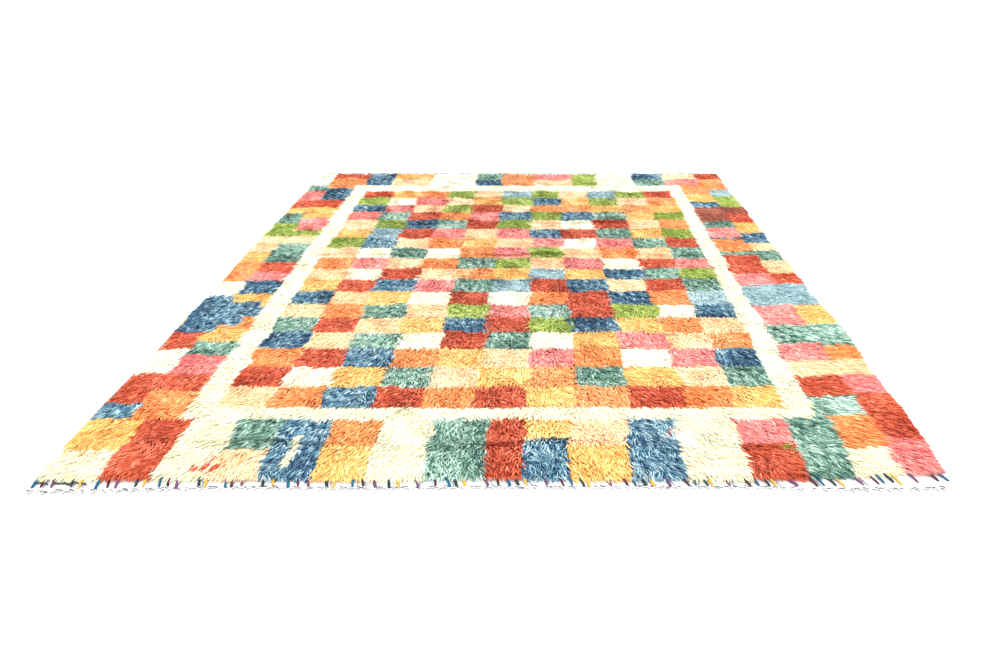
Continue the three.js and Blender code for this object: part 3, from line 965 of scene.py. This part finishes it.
# Overcast stitches over the web, each round in its own order: how far on to the next, and which wool
stitchWools = {
    "kingfisher": ("0c4460", "12607e"),
    "claret": ("381222", "521e30"),
    "mauve": ("54304e", "72466a"),
    "fir": ("12262a", "223a3a"),
    "saffron": ("b88a30", "dcae48"),
    "shadowSlate": ("262a22", "44483c"),
    "haze": ("707888", "9098a6"),
    "shadowAsh": ("414754", "5f6674"),
}
stitches = {
    "seed": 9,
    "half": 0.0039,  # half its width
    "flat": 0.55,  # its height, as a share of its width
    # Out over the web and up, from under the last tufts to the web's edge
    "path": [(0.004, 0.0050), (-0.006, 0.0070), (-0.017, 0.0078), (-0.028, 0.0060), (-0.0355, 0.0030)],
    "lean": (4, 30),  # degrees, from the left side to the right
    "rounds": {
        "left": [(0.022, "kingfisher"), (0.029, "claret"), (0.048, "mauve"), (0.025, "fir"),
                 (0.050, "saffron")],
        "right": [(0.045, "mauve"), (0.026, "claret"), (0.024, "kingfisher"), (0.020, "fir"),
                  (0.049, "saffron")],
    },
    "change": -0.28,  # where the left round gives way to the right one
    "thin": 0.30,  # how often a thin grey thread runs beside a stitch
    "ends": (0.010, 0.008),  # left bare at the left and right selvedge
}
# A dark thread runs along the pile's near left corner, a painted shadow under the pile's overhanging tips:
# from, to, in what steps, how far out
paintedShadowThread = (-1.222, -1.085, 0.024, 0.024)
# Twining along the web's outer edge, showing here and there, in dark grey yarn as a painted shadow where the
# fringe shades the floor
twining = {
    "path": [(0.0, 0.0), (0.0028, 0.0020), (0.0056, -0.0016), (0.0088, 0.0018), (0.0120, -0.0018),
             (0.0150, 0.0012)],  # along and across the edge
    "height": 0.0034,
    "half": 0.0017,  # half its thickness
    "shows": (0.55, 1.9),  # how many times its length
    "bare": (0.004, 0.022),  # between two such lengths
    "inside": (0.0005, 0.0030),  # from the web's edge
    "ends": (0.004, 0.030),  # left bare at the left and right selvedge
}
woolNames = list(stitchWools)
stitchMaterials = [pliedYarn("plied_" + name, *stitchWools[name]) for name in woolNames]
stitch = yarn([(0, along, up / stitches["flat"]) for along, up in stitches["path"]], stitches["half"], 2)
stitch.scale.z = stitches["flat"]
stitchPattern = asPattern([stitch])
twine = yarn([(along, across, twining["height"]) for along, across in twining["path"]], twining["half"])
twinePattern = asPattern([twine])


def makeStitches(end, knots):
    out = outward[end]
    random = np.random.default_rng(stitches["seed"] + out)
    places = []

    def lay(which, x, y, turn, stretch, wool):
        places.append((which, x, y, turn, stretch, woolNames.index(wool)))

    x = -halfWidth + stitches["ends"][0]
    number = 0
    while x < halfWidth - stitches["ends"][1]:
        part = "left" if x < stitches["change"] else "right"
        step, name = stitches["rounds"][part][number % 5]
        low, high = stitches["lean"]
        lean = low + (high - low) * (x / rug["width"] + 0.5) + random.uniform(-7, 7)
        px, py = bowed(x, out * halfLength)
        turn = math.radians(lean) if out < 0 else math.pi - math.radians(lean)
        reach = math.sqrt(webDepthAt(end, px) / rug["webDepth"])
        wide = random.uniform(0.75, 1.15)
        lay(0, px, py, turn, (wide, reach * random.uniform(0.82, 1.06), random.uniform(0.9, 1.1)), name)
        if random.random() < stitches["thin"]:
            beside = px + random.uniform(0.006, 0.014)
            lay(0, beside, endEdge(beside, end), turn, (0.24, reach * random.uniform(0.9, 1.1), 0.8), "haze")
        x += step * random.uniform(0.75, 1.25)
        number += 1
    if end == "near":
        start, finish, step, away = paintedShadowThread
        for x in np.arange(start, finish, step):
            px, py = bowed(x, -halfLength)
            turn = math.radians(90 + random.uniform(-12, 12))
            # Painted shadow: dark slate yarn under the pile's near left corner
            lay(0, px, py - away, turn, (random.uniform(0.5, 0.9), random.uniform(0.3, 0.7), 0.9), "shadowSlate")
    x = -halfWidth + twining["ends"][0]
    while x < halfWidth - twining["ends"][1]:
        px, py = bowed(x, out * halfLength)
        edge = py + out * (webDepthAt(end, px) - random.uniform(*twining["inside"]))
        long = random.uniform(*twining["shows"])
        turn = math.radians(random.uniform(-9, 9))
        # Painted shadow: dark grey twining along the web's edge
        lay(1, px, edge, turn, (long, random.uniform(0.7, 1.2), 1.0), "shadowAsh")
        x += twining["path"][-1][0] * long + random.uniform(*twining["bare"])

    def onWeb(px, py):
        share = np.clip((np.abs(py - endEdge(px, end)) - rug["gap"]) / webDepthAt(end, px), 0, 1)
        return webRise(px, share, knots)

    made = layMany("overcastStitches_" + end, [stitchPattern, twinePattern], places, stitchMaterials, onWeb)
    return made


for end in ("near", "far"):
    knots = knotPlaces(end)
    makeWeb(end, knots)
    makeFringe(end, knots)
    makeStitches(end, knots)
print("ends made")

# Selvedges: an edge cord wound close with wool, in stretches of different dye
selvedge = {
    "wrap": 0.0052,  # along the cord, coarser than the real yarn so that it shows
    "sides": 6,
    "groove": 0.78,  # radius between two wraps, as a share of the cord's
    "stretches": [("undyed", 0.26), ("dun", 0.62), ("straw", 0.15), ("undyed", 0.38), ("dun", 0.28),
                  ("undyed", 0.36), ("straw", 0.12), ("dun", 0.30), ("undyed", 0.60)],
}
windings = {
    "undyed": ("d8cdb4", "f4ecda"),
    "dun": ("86706c", "b09c96"),
    "straw": ("d0a050", "ecc880"),
}
windingNames = list(windings)
windingMaterials = [pliedYarn("wound_" + name, *windings[name], 0.0026) for name in windingNames]


def makeSelvedge(side):
    out = outward[side]
    number = selvedge["sides"]
    wraps = round(rug["length"] / selvedge["wrap"])
    y = np.linspace(-halfLength, halfLength, wraps * 2 + 1)
    edgeX, edgeY = bowed(np.full_like(y, out * halfWidth), y)
    edgeX = edgeX + out * (rug["gap"] + cordRadius)
    radius = np.where(np.arange(len(y)) % 2 == 0, selvedge["groove"], 1.0) * cordRadius
    slope = np.gradient(edgeX, edgeY)
    rings = []
    for k in range(number):
        angle = 2 * math.pi * (k + 0.5) / number
        rings.append(np.stack([edgeX + radius * math.cos(angle), edgeY - slope * radius * math.cos(angle),
                               cordRadius + radius * math.sin(angle)], -1))
    points = np.stack(rings, 1).reshape(-1, 3)
    ring = np.arange(number)
    after = (ring + 1) % number
    first = np.arange(len(y) - 1)[:, None] * number
    quads = np.stack([first + ring, first + number + ring, first + number + after, first + after], -1)
    corners = np.concatenate([quads.ravel(), ring, (len(y) - 1) * number + ring[::-1]])
    starts = np.append(np.arange(0, quads.size, 4), [quads.size, quads.size + number])
    lengths = np.cumsum([length for _, length in selvedge["stretches"]])
    if side == "right":
        lengths = lengths[-1] - lengths[::-1]
    middle = (y[1:] + y[:-1]) / 2 + halfLength
    which = np.clip(np.searchsorted(lengths, middle % lengths[-1]), 0, len(lengths) - 1)
    slots = np.array([windingNames.index(selvedge["stretches"][w][0]) for w in which])
    slots = np.append(np.repeat(slots, number), [0, 0])
    made = buildMesh("woundSelvedge_" + side, points, corners, starts, windingMaterials, slots)
    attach(made, "root")
    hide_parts("selvedge_" + side)
    return made


for side in ("left", "right"):
    makeSelvedge(side)
print("selvedges made")

# Plain floor, soft light from above and from behind the camera, which stands where the photo was taken
studio = {
    "camera": (0.118, -2.938, 1.258),  # from the rug's middle
    "pitch": 28.5,  # degrees
    "lens": 25.5,  # millimetres
    "shift": -0.038,
    "world": 1.38,  # strength of the white surroundings
    "lamps": [  # name, place, aim, size, power
        ("softTop", (-0.4, 1.0, 3.8), (0.0, 0.0, 0.0), 5.0, 105),
        ("softFront", (0.8, -3.4, 4.6), (0.0, 0.9, 0.0), 4.0, 162),
    ],
}
cameraX, cameraY, cameraZ = studio["camera"]
bpy.ops.object.camera_add(location=(cameraX + datum[0], cameraY + datum[1], cameraZ),
                          rotation=(math.radians(90 - studio["pitch"]), 0, 0))
camera = bpy.context.object
camera.data.lens = studio["lens"]
camera.data.sensor_width = 36
camera.data.shift_x = studio["shift"]
bpy.context.scene.camera = camera

bpy.ops.mesh.primitive_plane_add(size=40, location=(0, 0, -0.0006))
floor = bpy.context.object
floor.name = "studioFloor"
paper, tree = newMaterial("mattPaper")
grain = node(tree, "ShaderNodeTexNoise", {"Scale": 3.0, "Detail": 2.0})
shade = node(tree, "ShaderNodeValToRGB", {"stops": [(0.0, linear("e4e4e4")), (1.0, linear("e8e8e8"))]},
             {"Fac": grain.outputs["Fac"]})
skin = node(tree, "ShaderNodeBsdfPrincipled", {"Roughness": 0.9}, {"Base Color": shade.outputs["Color"]})
node(tree, "ShaderNodeOutputMaterial", {}, {"Surface": skin.outputs[0]})
floor.data.materials.append(paper)

for name, place, aim, size, power in studio["lamps"]:
    bpy.ops.object.light_add(type="AREA", location=place)
    lamp = bpy.context.object
    lamp.name = name
    lamp.data.shape = "SQUARE"
    lamp.data.size = size
    lamp.data.energy = power
    lamp.rotation_mode = "QUATERNION"
    away = lamp.location - type(lamp.location)(aim)
    lamp.rotation_quaternion = away.to_track_quat("Z", "Y")

world = bpy.data.worlds.new("studioWhite")
bpy.context.scene.world = world
world.use_nodes = True
background = world.node_tree.nodes["Background"]
background.inputs["Color"].default_value = (1, 1, 1, 1)
background.inputs["Strength"].default_value = studio["world"]
bpy.context.scene.view_settings.view_transform = "Standard"

print("studio set")
